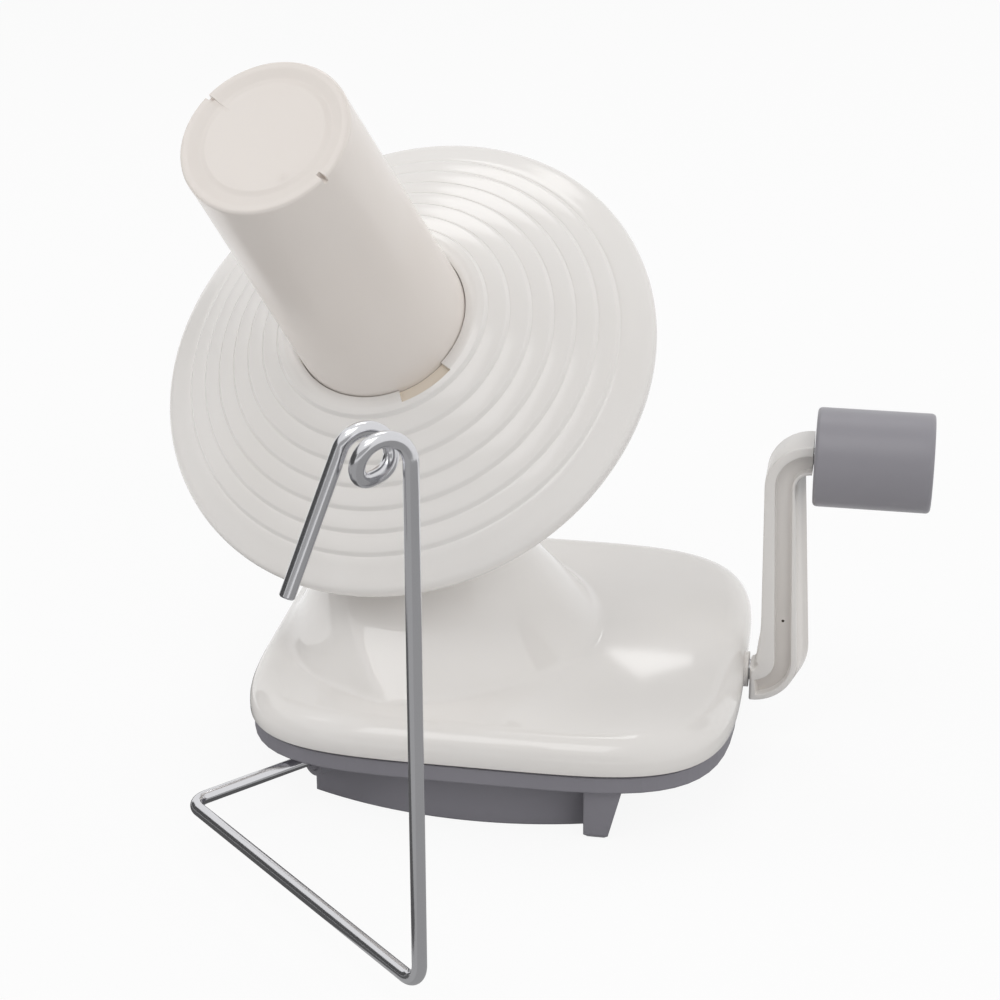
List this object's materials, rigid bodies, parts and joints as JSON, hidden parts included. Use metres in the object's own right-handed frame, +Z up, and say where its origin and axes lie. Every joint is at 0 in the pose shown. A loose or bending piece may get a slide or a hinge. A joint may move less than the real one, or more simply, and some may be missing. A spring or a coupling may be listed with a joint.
{
  "type": "yarn ball winder",
  "caption": "Hand-cranked yarn ball winder: a squarish base with a cone, a tilted ringed disc and bobbin turned by gears, a side crank with a drum grip, and a bent wire yarn guide.",
  "frame": {"origin": "on the winding axis, where it meets the flat underside of the gear box", "axes": "+X along the crank shaft towards the grip, +Y to the back, +Z up along the winding axis"},
  "size_m": [0.1825, 0.1971, 0.1719],
  "materials": {
    "white_plastic": "gloss",
    "grey_plastic": "satin",
    "grip_plastic": "satin",
    "gear_plastic": "satin",
    "bronze": "satin",
    "steel": "satin",
    "chrome_wire": "polished"
  },
  "bodies": {
    "base": {"base_lower": "grey_plastic", "base_cover": "white_plastic", "cover_screws": "steel", "center_post": "steel", "thrust_washer": "bronze", "sun_gear": "gear_plastic", "sun_clip": "steel", "crank_bush_outer": "white_plastic", "crank_bush_inner": "bronze", "guide_bush": "grey_plastic"},
    "crank": {"crank_shaft": "steel", "drive_wheel": "gear_plastic", "wheel_screw": "steel", "crank_arm": "white_plastic", "grip_pin": "steel"},
    "grip": {"crank_grip": "grip_plastic"},
    "carrier": {"carrier_plate": "white_plastic", "carrier_pinion": "gear_plastic", "carrier_head": "white_plastic", "carrier_screws": "steel", "gear_cap": "white_plastic", "cap_screws": "steel", "spindle_bush_lower": "bronze", "spindle_bush_upper": "bronze"},
    "bobbin": {"spindle": "steel", "planet_gear": "gear_plastic", "spindle_clip": "steel", "bobbin_hub": "white_plastic", "hub_screw": "steel", "winding_disc": "white_plastic", "bobbin": "white_plastic"},
    "guide": {"yarn_guide": "chrome_wire"}
  },
  "joints": [
    {"name": "crank_spin", "type": "hinge", "parent": "base", "child": "crank", "pos_m": [0, 0, 0.018], "axis": [1, 0, 0], "continuous": true},
    {"name": "carrier_spin", "type": "hinge", "parent": "base", "child": "carrier", "pos_m": [0, 0, 0], "axis": [0, 0, 1], "continuous": true},
    {"name": "bobbin_spin", "type": "hinge", "parent": "carrier", "child": "bobbin", "pos_m": [0, 0, 0.0934], "axis": [-0.1598, -0.6604, 0.7337], "continuous": true},
    {"name": "grip_spin", "type": "hinge", "parent": "crank", "child": "grip", "pos_m": [0.11, 0, 0.0744], "axis": [1, 0, 0], "continuous": true},
    {"name": "guide_swivel", "type": "hinge", "parent": "base", "child": "guide", "pos_m": [-0.0127, -0.0481, 0.011], "axis": [-0.6756, -0.7373, 0], "range_deg": [-5, 30]}
  ],
  "couplings": [
    {"joint": "carrier_spin", "follows": "crank_spin", "ratio": -2.5},
    {"joint": "bobbin_spin", "follows": "crank_spin", "ratio": -2.3333}
  ]
}
